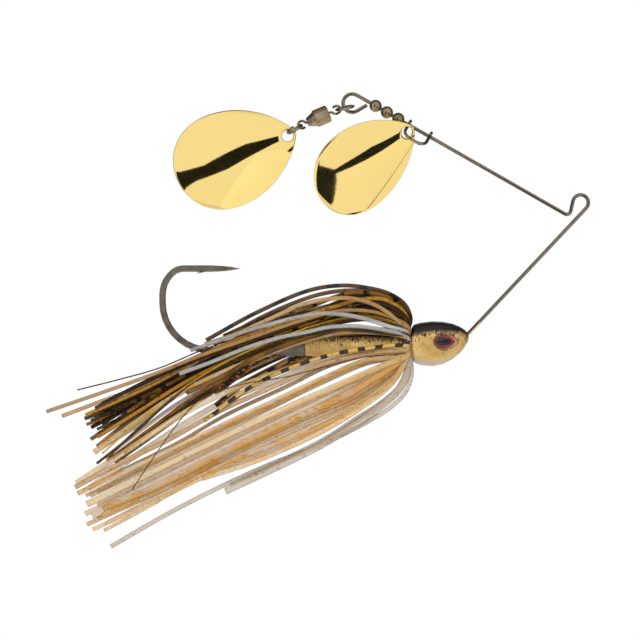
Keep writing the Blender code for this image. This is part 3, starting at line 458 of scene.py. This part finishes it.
ROOT_X = -36.9
ROOT_CENTRE_Z = -30.6
ROOT_R = 3.35
STRANDS = (
    ("brown", 1.3, -1.2, -0.6,
     (-36.5, -24.9), (-37.7, -21.9), (-41.2, -19.5), (-46.4, -18.2), (-51.3, -17.8), (-58.1, -18.8),
     (-69.5, -23.6), (-80.3, -29.5)),
    ("olive", 1.4, 0.8, 1.2,
     (-36.7, -24.9), (-38.3, -21.9), (-42.4, -19.9), (-48.4, -19.3), (-52.3, -20.1), (-58.0, -22.3),
     (-66.0, -25.2), (-75.0, -29.8), (-84.0, -34.6)),
    ("black", 1.0, 2.2, 2.6,
     (-36.9, -25.2), (-39.1, -22.4), (-43.6, -20.5), (-48.5, -19.7), (-53.0, -20.4), (-58.1, -22.1),
     (-63.8, -23.1), (-69.5, -25.3), (-76.8, -28.6)),
    ("olive", 1.5, -2.6, -2.0,
     (-36.8, -25.3), (-38.8, -22.7), (-42.2, -20.8), (-46.9, -20.8), (-52.0, -22.1), (-60.2, -24.6),
     (-70.7, -28.4), (-77.5, -31.0), (-90.8, -38.5), (-105.9, -45.5)),
    ("olive", 1.4, 3.4, 3.0,
     (-37.0, -26.0), (-39.4, -23.6), (-43.5, -21.9), (-50.4, -22.4), (-58.5, -25.3), (-70.7, -30.0),
     (-84.0, -36.4), (-97.7, -43.1), (-106.8, -46.5)),
    ("black", 1.2, -3.4, -2.2,
     (-36.9, -25.6), (-40.0, -22.7), (-45.0, -21.3), (-52.0, -22.9), (-60.2, -25.8), (-71.0, -29.6),
     (-81.7, -33.5), (-88.5, -36.5), (-103.9, -43.9)),
    ("black", 1.3, 1.6, 1.4,
     (-37.0, -25.8), (-39.6, -23.0), (-44.0, -21.7), (-51.0, -23.6), (-60.0, -26.8), (-72.0, -31.4),
     (-86.2, -37.8), (-95.4, -43.2), (-105.2, -48.3)),
    ("beige", 1.25, -4.2, -2.6,
     (-37.1, -26.6), (-40.5, -24.7), (-45.4, -23.3), (-52.0, -23.3), (-60.2, -25.4), (-71.8, -29.4),
     (-81.7, -32.9), (-89.7, -36.1), (-101.1, -40.2), (-114.2, -44.7)),
    ("hair", 0.3, 4.2, 3.0,
     (-37.0, -26.0), (-42.0, -22.3), (-50.0, -21.6), (-60.0, -24.4), (-72.0, -28.3), (-81.7, -31.8),
     (-90.8, -35.6), (-100.0, -38.2), (-108.4, -40.3)),
    ("beige", 1.3, -3.9, -1.8,
     (-36.9, -27.0), (-38.7, -25.9), (-41.8, -23.4), (-45.4, -21.5), (-50.4, -20.5), (-55.3, -20.9),
     (-60.2, -22.1), (-68.0, -25.6), (-74.0, -28.2), (-80.5, -30.4)),
    ("grey", 1.3, -4.4, -3.2,
     (-37.3, -27.7), (-40.5, -26.8), (-45.4, -25.2), (-50.4, -24.1), (-55.3, -23.8), (-60.2, -24.5),
     (-69.5, -26.9), (-76.4, -29.2), (-83.5, -31.7)),
    ("grey", 1.3, -5.0, -4.2,
     (-37.3, -28.6), (-41.8, -27.4), (-48.0, -26.5), (-54.0, -26.7), (-58.1, -27.6), (-64.9, -29.0),
     (-71.8, -31.2), (-78.7, -34.0), (-85.8, -36.6)),
    ("olive", 1.6, -4.6, -3.4,
     (-37.0, -28.7), (-41.8, -27.9), (-46.7, -27.3), (-51.6, -27.1), (-56.5, -28.3), (-62.0, -30.0),
     (-69.5, -33.1), (-76.4, -37.0), (-84.4, -40.7)),
    ("tan", 1.4, -3.9, -2.0,
     (-37.2, -28.9), (-44.0, -27.7), (-52.0, -27.8), (-60.0, -29.8), (-72.0, -34.4), (-86.2, -41.0),
     (-95.4, -47.2), (-104.1, -53.4)),
    ("olive", 1.5, 2.2, 1.8,
     (-37.0, -27.0), (-41.0, -25.0), (-48.0, -23.9), (-57.0, -26.2), (-70.0, -30.8), (-84.0, -36.9),
     (-90.8, -41.4), (-98.8, -46.4), (-105.3, -50.9)),
    ("olive", 1.3, -1.8, -1.2,
     (-37.0, -27.2), (-41.5, -25.4), (-49.0, -24.6), (-58.0, -27.2), (-70.0, -31.4), (-84.0, -38.1),
     (-91.0, -42.4), (-98.0, -46.8), (-103.6, -50.2)),
    ("brown", 1.0, 4.4, 3.4,
     (-37.0, -26.4), (-40.5, -23.8), (-46.0, -22.5), (-54.0, -24.2), (-64.0, -28.0), (-76.0, -33.4),
     (-90.0, -40.4), (-106.1, -47.8)),
    ("tinsel", 0.35, -2.8, -2.6,
     (-37.0, -27.0), (-41.0, -25.3), (-48.0, -24.4), (-58.0, -26.6), (-70.0, -31.2), (-80.0, -36.4),
     (-93.1, -45.6), (-102.3, -53.6)),
    ("black", 0.8, -2.2, -3.2,
     (-37.0, -27.6), (-40.0, -26.2), (-46.0, -25.2), (-55.0, -26.6), (-66.0, -30.3), (-76.0, -34.6),
     (-86.2, -41.0), (-96.5, -50.2), (-103.4, -55.7)),
    ("olive", 1.7, 2.9, 1.2,
     (-37.0, -28.3), (-41.0, -27.6), (-47.0, -27.3), (-56.0, -29.2), (-66.0, -33.0), (-75.0, -37.2),
     (-81.7, -40.8), (-91.3, -47.8), (-101.8, -55.5)),
    ("black", 1.1, 3.0, 0.4,
     (-37.0, -28.2), (-42.0, -27.4), (-50.0, -27.9), (-61.0, -31.8), (-72.0, -36.9), (-81.0, -41.6),
     (-88.0, -46.2), (-100.4, -54.8)),
    ("glitter", 1.8, 2.6, 0.8,
     (-37.4, -28.8), (-42.0, -27.9), (-50.0, -28.2), (-58.0, -29.7), (-66.1, -32.6), (-71.8, -35.6),
     (-78.7, -40.9)),
    ("glitter", 1.2, 2.5, 1.0,
     (-37.3, -29.4), (-43.0, -29.2), (-52.0, -30.4), (-62.0, -33.9), (-72.0, -38.8), (-78.4, -43.6)),
    ("barred", 1.25, -4.9, -4.4,
     (-37.3, -30.7), (-39.3, -30.5), (-43.0, -30.8), (-47.4, -31.4), (-51.6, -32.1), (-55.8, -33.2),
     (-63.8, -36.0), (-72.0, -40.2), (-80.4, -46.6)),
    ("barred", 1.2, 3.6, -1.0,
     (-37.2, -29.4), (-41.8, -28.5), (-46.0, -28.1), (-50.4, -28.6), (-54.0, -29.6), (-58.1, -31.3),
     (-67.2, -36.4), (-71.8, -38.8), (-77.5, -42.6)),
    ("grey", 1.2, 3.2, 2.2,
     (-37.3, -30.2), (-43.0, -28.9), (-50.0, -28.7), (-58.0, -31.3), (-66.0, -35.3), (-76.6, -40.8)),
    ("beige", 1.5, -4.4, -2.4,
     (-37.3, -31.5), (-43.0, -31.9), (-47.9, -32.7), (-55.3, -34.6), (-63.8, -38.4), (-77.4, -44.6),
     (-88.1, -50.6), (-98.8, -55.8), (-108.1, -60.8)),
    ("pale", 1.3, -3.8, -1.2,
     (-37.3, -31.1), (-43.0, -31.5), (-50.0, -32.4), (-57.0, -33.9), (-66.0, -36.7), (-75.0, -40.2),
     (-83.3, -44.1), (-97.7, -53.4), (-108.0, -60.1)),
    ("tan", 1.3, -3.4, -2.2,
     (-37.5, -32.6), (-46.7, -33.9), (-54.1, -37.0), (-63.1, -41.2), (-77.4, -47.9), (-91.7, -54.6),
     (-107.6, -62.2)),
    ("tan", 1.2, 1.4, 1.2,
     (-37.6, -32.8), (-46.0, -34.6), (-54.0, -38.0), (-65.0, -43.2), (-80.0, -50.0), (-95.0, -57.3),
     (-106.3, -63.0)),
    ("tan", 1.6, -4.0, -2.4,
     (-37.7, -33.0), (-41.8, -34.6), (-50.3, -38.3), (-60.2, -42.6), (-72.0, -48.0), (-88.0, -55.8),
     (-105.6, -64.5)),
    ("pale", 1.2, 0.2, 0.2,
     (-38.0, -33.2), (-42.0, -35.4), (-50.3, -39.8), (-60.2, -44.6), (-75.0, -51.6), (-90.0, -59.2),
     (-106.3, -66.8)),
    ("tan", 1.7, -3.6, -1.8,
     (-38.0, -33.3), (-41.8, -36.0), (-50.3, -41.1), (-60.2, -45.6), (-75.0, -52.8), (-88.0, -59.4),
     (-102.2, -65.6)),
    ("tan", 1.3, -1.6, -1.4,
     (-38.0, -33.4), (-41.4, -36.6), (-49.3, -41.9), (-60.2, -46.6), (-75.0, -53.9), (-88.0, -60.6),
     (-102.6, -67.0)),
    ("tan", 1.1, 1.8, 1.4,
     (-37.8, -33.4), (-40.5, -36.8), (-47.0, -41.8), (-60.0, -47.5), (-75.0, -54.4), (-90.0, -61.9),
     (-106.1, -69.2)),
    ("pale", 1.0, -0.8, -1.0,
     (-37.7, -33.5), (-40.2, -37.4), (-47.0, -42.6), (-60.0, -48.8), (-75.0, -55.9), (-90.0, -63.3),
     (-104.5, -70.0)),
    ("tan", 0.9, -3.2, -2.8,
     (-37.6, -33.5), (-40.0, -37.9), (-47.9, -43.6), (-57.0, -48.4), (-70.0, -53.2), (-80.9, -58.0),
     (-91.7, -64.5), (-101.9, -70.0)),
    ("tan", 1.5, -3.9, -3.4,
     (-37.6, -33.6), (-40.5, -38.4), (-47.9, -44.2), (-55.9, -49.0), (-70.2, -55.4), (-81.0, -58.9)),
    ("clear", 1.0, -1.6, -1.4,
     (-36.5, -34.2), (-36.4, -37.0), (-37.6, -40.4), (-40.6, -43.6), (-45.4, -46.7), (-55.9, -51.9),
     (-66.6, -56.0), (-76.3, -60.4), (-88.1, -66.4), (-100.6, -73.6)),
    ("clear", 1.7, -2.6, -2.4,
     (-36.9, -34.1), (-37.4, -36.7), (-39.3, -40.2), (-43.5, -43.9), (-48.5, -47.4), (-55.9, -51.9),
     (-66.6, -57.2), (-76.1, -61.7)),
    ("hair", 0.22, -5.2, -5.0,
     (-38.0, -32.2), (-46.0, -33.0), (-55.8, -35.3), (-63.0, -37.2), (-72.0, -38.7), (-80.2, -41.3),
     (-84.0, -44.6), (-89.6, -52.0), (-95.8, -61.2)),
)
# Strands behind these, copied from one of them by its place in the list, moved back and up by so much
BEHIND = (
    (0, 3.0, -1.1), (3, 4.6, -0.5), (4, 1.0, 0.8), (5, 4.0, -0.8), (6, 4.9, 0.6), (7, 4.8, -1.3),
    (9, 5.2, -1.5), (11, 4.9, -0.9), (12, 4.6, -1.0), (13, 3.9, 0.7), (14, -1.0, -1.4),
    (15, 4.2, 1.2), (19, 3.6, -0.6), (20, 3.2, 0.9), (23, 4.8, 0.9), (24, 4.6, -1.1), (26, 4.9, -1.2),
    (27, 3.4, -1.6), (28, 4.4, -1.0), (29, 4.0, 0.7), (30, 4.4, -0.9), (31, 3.4, -0.9), (32, 4.2, -0.8),
    (34, 3.2, 1.2), (35, 3.6, 0.8), (37, 4.4, 1.0), (39, 3.2, 0.9), (3, -0.6, -1.3), (4, 2.2, -1.2),
    (5, -1.6, 0.9), (6, -0.4, -1.3), (14, 1.4, 1.1), (15, -0.4, -1.1), (16, 1.2, -0.9), (18, 1.8, 1.0),
    (2, 0.6, -1.0), (13, 1.6, -1.4), (12, 1.8, 0.9), (1, 2.4, -1.6),
)
STRAND_STEP = 0.9
SECTION = (  # across, out: as shares of half the width and half the thickness
    (1.0, 0.0), (0.86, 0.5), (0.35, 0.72), (-0.35, 0.72), (-0.86, 0.5),
    (-1.0, 0.0), (-0.86, -0.5), (-0.35, -0.72), (0.35, -0.72), (0.86, -0.5),
)
STRAND_THICKNESS = 0.55
HAIR_WIDTH = 0.6  # a strand narrower than this is round
BULGE_BY = 0.22  # the share of its length by which a strand has left the collar
TIP_FROM = 0.3  # and from which it leans towards its tip's depth
TWIST = 0.5
SPIN = 0.9
SLENDER = {"olive": 0.66, "brown": 0.7, "barred": 0.7, "black": 0.72, "grey": 0.75, "beige": 0.72, "tan": 0.88}


def smooth_path(points, step):
    """A centripetal curve through the points, as points about a step apart."""
    points = [points[0] * 2 - points[1]] + points + [points[-1] * 2 - points[-2]]
    path = []
    for a, b, c, d in zip(points, points[1:], points[2:], points[3:]):
        t1 = (b - a).length ** 0.5
        t2 = t1 + (c - b).length ** 0.5
        t3 = t2 + (d - c).length ** 0.5
        count = max(2, round((c - b).length / step))
        for n in range(count):
            t = t1 + (t2 - t1) * n / count
            e = a * ((t1 - t) / t1) + b * (t / t1)
            f = b * ((t2 - t) / (t2 - t1)) + c * ((t - t1) / (t2 - t1))
            g = c * ((t3 - t) / (t3 - t2)) + d * ((t - t2) / (t3 - t2))
            h = e * ((t2 - t) / t2) + f * (t / t2)
            k = f * ((t3 - t) / (t3 - t1)) + g * ((t - t1) / (t3 - t1))
            path.append(h * ((t2 - t) / (t2 - t1)) + k * ((t - t1) / (t2 - t1)))
    path.append(points[-2])
    return path


def strand_points(middle_y, tip_y, points):
    """The strand's points in space, from under the collar: it bulges to middle_y and ends at tip_y."""
    first = points[0]
    rise = max(-0.98, min(0.98, (first[1] - ROOT_CENTRE_Z) / (ROOT_R + 2.2)))
    root_y = math.copysign(ROOT_R * math.sqrt(1 - rise * rise), middle_y)
    root = Vector((ROOT_X, root_y, ROOT_CENTRE_Z + ROOT_R * rise))
    total = abs(points[-1][0] - ROOT_X)
    made = [root]
    for x, z in points:
        share = min(1.0, abs(x - ROOT_X) / total)
        swell = min(1.0, share / BULGE_BY)
        lean = max(0.0, (share - TIP_FROM) / (1 - TIP_FROM))
        y = root_y + (middle_y - root_y) * swell + (tip_y - middle_y) * lean
        made.append(Vector((x, y, z)))
    return made


def add_strand(shape, layer, wide, path, width, thickness, number, twist, spin):
    """A flat ribbon with rounded edges: twist is its turn at the root, spin the turn it gains to its tip."""
    rows = []
    travelled = 0.0
    lengths = []
    for n, centre in enumerate(path):
        travelled += (centre - path[n - 1]).length if n else 0.0
        lengths.append(travelled)
        tangent = (path[min(n + 1, len(path) - 1)] - path[max(n - 1, 0)]).normalized()
        flat_side = (SIDE - tangent * tangent.dot(SIDE)).normalized()
        turn = twist + spin * n / len(path)
        out = flat_side * math.cos(turn) + tangent.cross(flat_side) * math.sin(turn)
        across = tangent.cross(out)
        size = min(1.0, 0.75 + n / 12)
        rows.append([
            shape.verts.new(centre + across * (u * width / 2 * size) + out * (v * thickness / 2))
            for u, v in SECTION
        ])
    for k, (one, two) in enumerate(zip(rows, rows[1:])):
        for n in range(len(SECTION)):
            m = (n + 1) % len(SECTION)
            face = shape.faces.new((one[n], one[m], two[m], two[n]))
            for loop, along, side in zip(face.loops, (k, k, k + 1, k + 1), (n, m, m, n)):
                loop[layer].uv = (lengths[along] / UV_LENGTH, number)
                loop[wide].uv = (SECTION[side][0], 0)
    for ring, along in ((rows[0], 0), (rows[-1], len(rows) - 1)):
        face = shape.faces.new(ring)
        for loop in face.loops:
            loop[layer].uv = (lengths[along] / UV_LENGTH, number)


def make_skirt(kinds):
    """One object for each kind of strand."""
    rng = random.Random(11)
    shapes = {}
    jobs = [(kind, width, mid, tip, points) for kind, width, mid, tip, *points in STRANDS]
    for index, back, up in BEHIND:
        kind, width, mid, tip, *points = STRANDS[index]
        moved = []
        for n, (x, z) in enumerate(points):
            share = n / (len(points) - 1)
            moved.append((x + 2.4 * share * rng.uniform(0.2, 1), z + up * min(1.0, 1.6 * share)))
        jobs.append((kind, width, back, back * 0.8, moved))
    for number, (kind, width, mid, tip, points) in enumerate(jobs):
        if kind not in shapes:
            shape = bmesh.new()
            shapes[kind] = (shape, shape.loops.layers.uv.new("strand"), shape.loops.layers.uv.new("width"))
        shape, layer, wide = shapes[kind]
        path = smooth_path(strand_points(mid, tip, points), STRAND_STEP)
        width *= SLENDER.get(kind, 1)
        thickness = STRAND_THICKNESS if width > HAIR_WIDTH else width
        twist = rng.uniform(-TWIST, TWIST)
        spin = rng.uniform(-SPIN, SPIN)
        add_strand(shape, layer, wide, path, width, thickness, (number + 0.5) / 100, twist, spin)
    made = {}
    for kind, (shape, *_) in shapes.items():
        made[kind] = finish_mesh("strands_" + kind, shape, kinds[kind])
        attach(made[kind], ROOT_BODY)
    return made


def make_tinsel_material():
    p = Paint("gold_tinsel", Metallic=1.0)
    where = p.where()
    glint = p.noise(where, 700.0, 3.0)
    return p.use(
        Base_Color=p.mix(glint, shade(240, 200, 60), shade(190, 140, 30)), Roughness=p.spread(glint, 0.12, 0.4)
    )


DARK = shade(40, 26, 12)
OLIVE = silicone("silicone_olive", shade(178, 124, 34), shade(66, 42, 12), DARK, 0.85, (5.8, 0.24, 0.5))
BROWN = silicone("silicone_brown", shade(132, 92, 40), shade(80, 54, 24), DARK, 0.85, (6.5, 0.4, 0.6))
BARRED = silicone("silicone_barred", shade(216, 176, 92), shade(190, 148, 66), DARK, 0.8, (4.2, 0.42, 1.0))
BLACK = silicone("silicone_black", shade(20, 15, 10), shade(52, 36, 18), shade(120, 80, 30), 0.95)
GLITTER = silicone(
    "silicone_glitter", shade(20, 16, 12), shade(34, 24, 14), shade(210, 130, 44), 0.95, None, (0.56, 0.62), 0.9
)
TAN = silicone(
    "silicone_tan", shade(218, 186, 120), shade(212, 162, 80), shade(158, 92, 38), 0.58,
    patches=shade(202, 187, 160),
)
BEIGE = silicone("silicone_beige", shade(194, 160, 112), shade(168, 130, 78), shade(128, 80, 38), 0.72)
PALE = silicone("silicone_pale", shade(220, 198, 160), shade(222, 184, 118), shade(150, 108, 66), 0.52)
GREY = silicone("silicone_grey", shade(166, 174, 182), shade(178, 176, 172), shade(120, 110, 96), 0.64)
CLEAR = silicone("silicone_clear", shade(196, 182, 160), shade(184, 168, 144), shade(124, 100, 72), 0.56)
HAIR = silicone("hair_black", shade(28, 22, 18), shade(56, 40, 22), shade(150, 110, 40), 0.95)

skirt = make_skirt({
    "olive": OLIVE, "brown": BROWN, "barred": BARRED, "black": BLACK, "glitter": GLITTER, "tan": TAN,
    "beige": BEIGE, "pale": PALE, "grey": GREY, "clear": CLEAR, "hair": HAIR, "tinsel": make_tinsel_material(),
})
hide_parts("skirt_top", "skirt_upper_front", "skirt_side_back")
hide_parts("skirt_upper_back")
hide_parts("skirt_side_front", "skirt_lower_front", "skirt_lower_back")
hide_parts("skirt_bottom")

# Blades

GOLD = gold_material()
REAR_HOLE = Vector((-62.878, 0, 14.357))
REAR_SIZE = (27.5, 20.8)
REAR_ANGLE = 20.8
FRONT_HOLE = Vector((-37.839, -2.222, 15.092)) + direction(-29.7) * 0.5
FRONT_SIZE = (25.3, 18.4)
FRONT_ANGLE = 39.3
FRONT_ROLL = math.radians(26)
front_up = direction(90 + FRONT_ANGLE)
front_normal = (-SIDE * math.cos(FRONT_ROLL) - front_up * math.sin(FRONT_ROLL)).normalized()
front_blade = make_blade(
    "blade_front_gold", *FRONT_SIZE, FRONT_HOLE, -direction(FRONT_ANGLE), front_normal, GOLD
)
rear_blade = make_blade("blade_rear_gold", *REAR_SIZE, REAR_HOLE, -direction(REAR_ANGLE), -SIDE, GOLD)
for blade, node in ((front_blade, "front_blade"), (rear_blade, "rear_blade")):
    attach(blade, node)
    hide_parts(node)

# CAD nodes that stay

WIRE = wire_material("wire_steel", shade(132, 123, 110), shade(104, 96, 84), 0.22)
NICKEL = metal("black_nickel", shade(160, 144, 122), shade(112, 98, 82), 0.14, rough_spread=0.05)
HOOK_STEEL = metal("hook_gunmetal", shade(114, 106, 97), shade(85, 78, 70), 0.24)
FINISHES = {
    "wire_form": WIRE,
    "hook": HOOK_STEEL,
    "head_casting": head_material(),
    "trailer_keeper": keeper_material(),
    "skirt_collar": collar_material(),
    "eye_foil_left": eye_material(),
    "eye_dome_left": clear_material("eye_epoxy_clear"),
}
FINISHES["eye_foil_right"] = FINISHES["eye_foil_left"]
FINISHES["eye_dome_right"] = FINISHES["eye_dome_left"]
for name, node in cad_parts.items():
    if node.hide_render:
        continue
    finish = FINISHES.get(name, NICKEL)
    if not node.material_slots:
        node.data.materials.append(finish)
    for material_slot in node.material_slots:
        material_slot.material = finish

# Studio: white sky in front and a greyer one behind, a pale floor far below, and cards for the blades

# From Y, to Y, and the strength at each: bright in front of the lure, dark beside it, and paler far behind it
SKY_FALL = (-0.5, -0.1, 1.02, 0.12)
SKY_BEHIND = (0.45, 0.9, 0.0, 0.5)


def make_sky():
    world = bpy.data.worlds.new("studio")
    bpy.context.scene.world = world
    world.use_nodes = True
    nodes, links = world.node_tree.nodes, world.node_tree.links
    nodes.clear()
    out = nodes.new("ShaderNodeOutputWorld")
    lit = nodes.new("ShaderNodeBackground")
    seen = nodes.new("ShaderNodeBackground")
    lit.inputs[0].default_value = (1, 1, 1, 1)
    seen.inputs[0].default_value = (1, 1, 1, 1)
    where = nodes.new("ShaderNodeTexCoord")
    split = nodes.new("ShaderNodeSeparateXYZ")
    links.new(where.outputs["Generated"], split.inputs[0])
    both = nodes.new("ShaderNodeMath")
    both.operation = "ADD"
    for n, ramp in enumerate((SKY_FALL, SKY_BEHIND)):
        fall = nodes.new("ShaderNodeMapRange")
        fall.interpolation_type = "SMOOTHSTEP"
        for socket, value in zip((1, 2, 3, 4), ramp):
            fall.inputs[socket].default_value = value
        links.new(split.outputs[1], fall.inputs[0])
        links.new(fall.outputs[0], both.inputs[n])
    links.new(both.outputs[0], lit.inputs[1])
    path = nodes.new("ShaderNodeLightPath")
    choose = nodes.new("ShaderNodeMixShader")
    links.new(path.outputs["Is Camera Ray"], choose.inputs[0])
    links.new(lit.outputs[0], choose.inputs[1])
    links.new(seen.outputs[0], choose.inputs[2])
    links.new(choose.outputs[0], out.inputs[0])


def card(name, y, stations, material):
    """An upright strip that only shows in polished metal, by its distance in front and its (X, Z, height)s."""
    upper = [(x, z + height / 2) for x, z, height in stations]
    lower = [(x, z - height / 2) for x, z, height in reversed(stations)]
    corners = [(x * MM, y * MM, z * MM) for x, z in upper + lower]
    mesh = bpy.data.meshes.new(name)
    mesh.from_pydata(corners, [], [range(len(corners))])
    mesh.materials.append(material)
    made = bpy.data.objects.new(name, mesh)
    bpy.context.scene.collection.objects.link(made)
    made.visible_camera = False
    made.visible_diffuse = False
    made.visible_shadow = False
    made.visible_transmission = False
    return made


def make_light(name, centre, size, watts):
    """A soft square lamp aimed at the lure, which polished metal doesn't mirror."""
    data = bpy.data.lights.new(name, "AREA")
    data.size = size
    data.energy = watts
    lamp = bpy.data.objects.new(name, data)
    bpy.context.scene.collection.objects.link(lamp)
    lamp.location = centre
    lamp.rotation_euler = (Vector(LIGHTS_AIM) - Vector(centre)).to_track_quat("-Z", "Y").to_euler()
    lamp.visible_glossy = False


VIEW_CENTRE = Vector((-0.05592, 0, -0.02518))
VIEW_WIDTH = 0.1373
LENS = 100
SENSOR = 36
QUARTER_TURN = math.radians(90)
FLOOR_Z = -0.30
BOUNCE_Z = -0.28
CARD_Y = -90  # millimetres in front of the lure
BETWEEN_BLADES = (-0.0592, -0.045, 0)
LIGHTS_AIM = (-0.06, 0, -0.02)

camera_data = bpy.data.cameras.new("camera")
camera_data.lens = LENS
camera_data.sensor_width = SENSOR
camera = bpy.data.objects.new("camera", camera_data)
bpy.context.scene.collection.objects.link(camera)
camera.location = VIEW_CENTRE - SIDE * (VIEW_WIDTH * LENS / SENSOR)
camera.rotation_euler = (QUARTER_TURN, 0, 0)
camera_data.clip_start = 0.01
bpy.context.scene.camera = camera
bpy.context.scene.view_settings.view_transform = "Standard"

make_sky()
floor_paint = Paint("floor_pale")
floor_where = floor_paint.where()
floor_paint.use(
    Base_Color=floor_paint.mix(floor_paint.noise(floor_where, 3.0), (0.93, 0.93, 0.92), (0.90, 0.90, 0.89)),
    Roughness=floor_paint.spread(floor_paint.noise(floor_where, 40.0), 0.7, 0.85),
)
floor = card("floor", 0, ((-500, 0, 1000), (500, 0, 1000)), floor_paint.material)
floor.rotation_euler = (QUARTER_TURN, 0, 0)
floor.location = (0, 0, FLOOR_Z)
floor.visible_diffuse = True
floor.visible_shadow = True
lit_paint = Paint("card_lit", Emission_Color=(1, 1, 1, 1), Emission_Strength=1.0, Base_Color=(0, 0, 0, 1))
card_paint = Paint("card_black", Base_Color=(0.004, 0.004, 0.004, 1), Roughness=0.9)
card("card_rear", CARD_Y, ((-45, 32, 20), (-75, 18, 40), (-95, 5, 20), (-135, -15, 50)), card_paint.material)
card("card_front", CARD_Y, ((-28, -39, 4), (0, -27, 27), (60, -25, 30)), card_paint.material)
card("card_front_end", CARD_Y - 1, ((-50, -40, 70), (-20, -65, 62), (15, -120, 20)), card_paint.material)
divider = card("divider", 0, ((-43, -26, 68), (43, -26, 68)), lit_paint.material)
divider.rotation_euler = (0, 0, QUARTER_TURN)
divider.location = BETWEEN_BLADES
bounce = card("bounce", 0, ((50, 0, 1000), (700, 0, 1000)), lit_paint.material)
bounce.rotation_euler = (QUARTER_TURN, 0, 0)
bounce.location = (0, 0, BOUNCE_Z)
make_light("key", (-0.2, -0.45, 0.40), 0.25, 2.0)
make_light("back_fill", (0.1, 0.5, 0.2), 0.5, 4.0)
